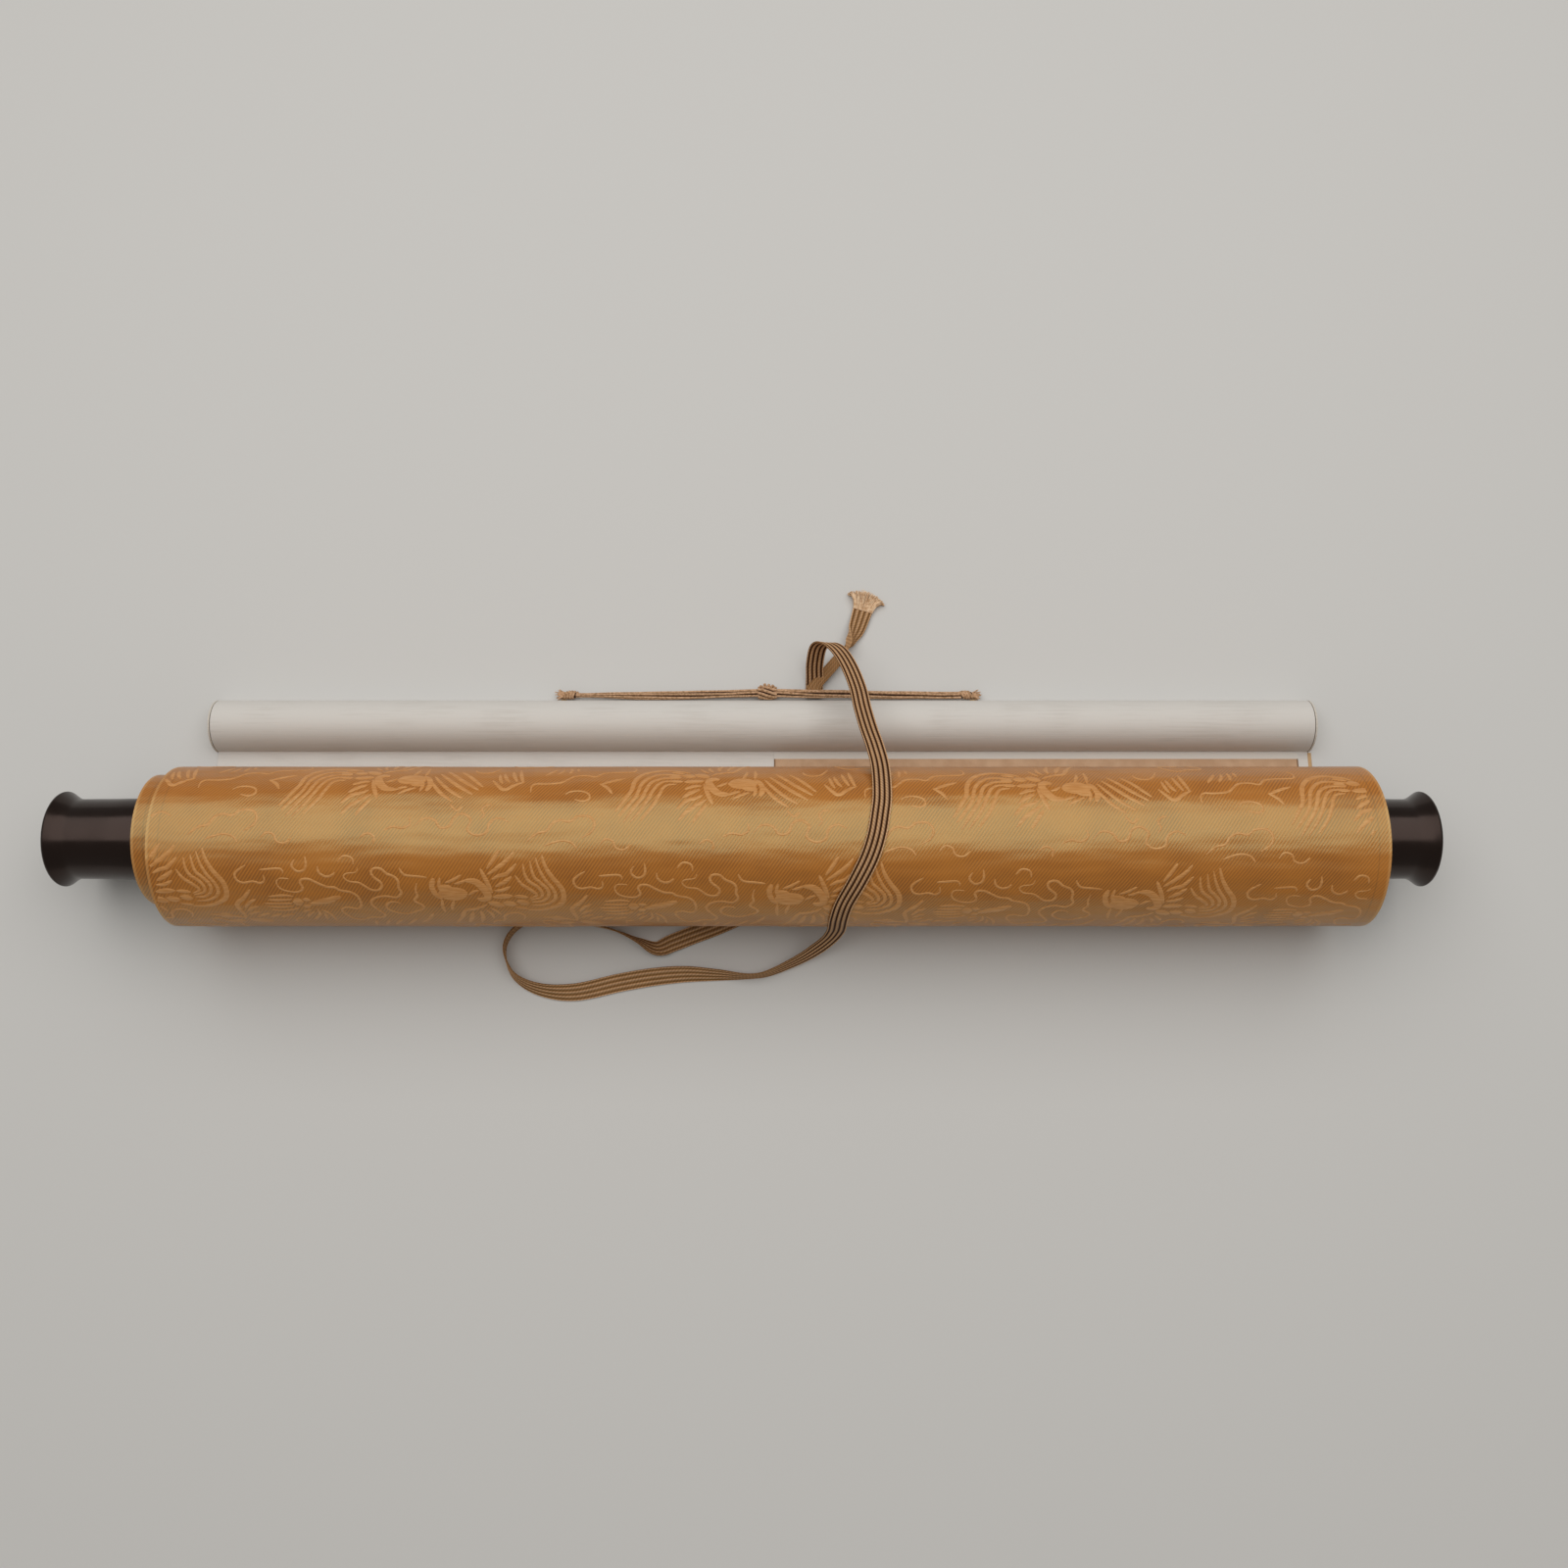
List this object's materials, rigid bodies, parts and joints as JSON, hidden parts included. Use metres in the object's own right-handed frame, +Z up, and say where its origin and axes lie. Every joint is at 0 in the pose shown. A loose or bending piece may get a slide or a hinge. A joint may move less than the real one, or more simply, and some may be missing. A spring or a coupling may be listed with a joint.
{
  "type": "rolled hanging scroll",
  "caption": "Rolled hanging scroll in an orange brocade cover, with black turned knobs, a half-round stave, a hanging cord and a flat tie ribbon.",
  "frame": {"origin": "on the table under the roll, at the middle of the roller's length, on the roll's small flat spot", "axes": "+X along the roll, +Y towards the stave and the hanging cord, +Z up"},
  "size_m": [0.4492, 0.1489, 0.0539],
  "materials": {
    "roller_wood": "turned, plain",
    "knob_lacquer": "black lacquer, satin gloss",
    "white_sheet": "white silk mounted on paper, matt",
    "brocade": "orange damask with figures of a satin sheen",
    "panel_paper": "beige paper, matt",
    "stave_wood": "planed, plain",
    "end_silk": "silk patch, matt",
    "eye_brass": "drawn wire",
    "cord_cotton": "bunched brown ribbon",
    "ribbon_cotton": "flat woven, brown with light ribs"
  },
  "bodies": {
    "root": {"roller_core": "roller_wood", "knob_left": "knob_lacquer", "knob_right": "knob_lacquer", "rolled_sheet": "white_sheet", "brocade_cover": "brocade", "inner_panel": "panel_paper", "stave": "stave_wood", "stave_end_left": "end_silk", "stave_end_right": "end_silk", "cord_eye_left": "eye_brass", "cord_eye_right": "eye_brass", "hanging_cord": "cord_cotton", "cord_knot_left": "cord_cotton", "cord_knot_middle": "cord_cotton", "cord_knot_right": "cord_cotton", "tie_ribbon": "ribbon_cotton", "ribbon_tuft": "ribbon_cotton"}
  },
  "joints": []
}
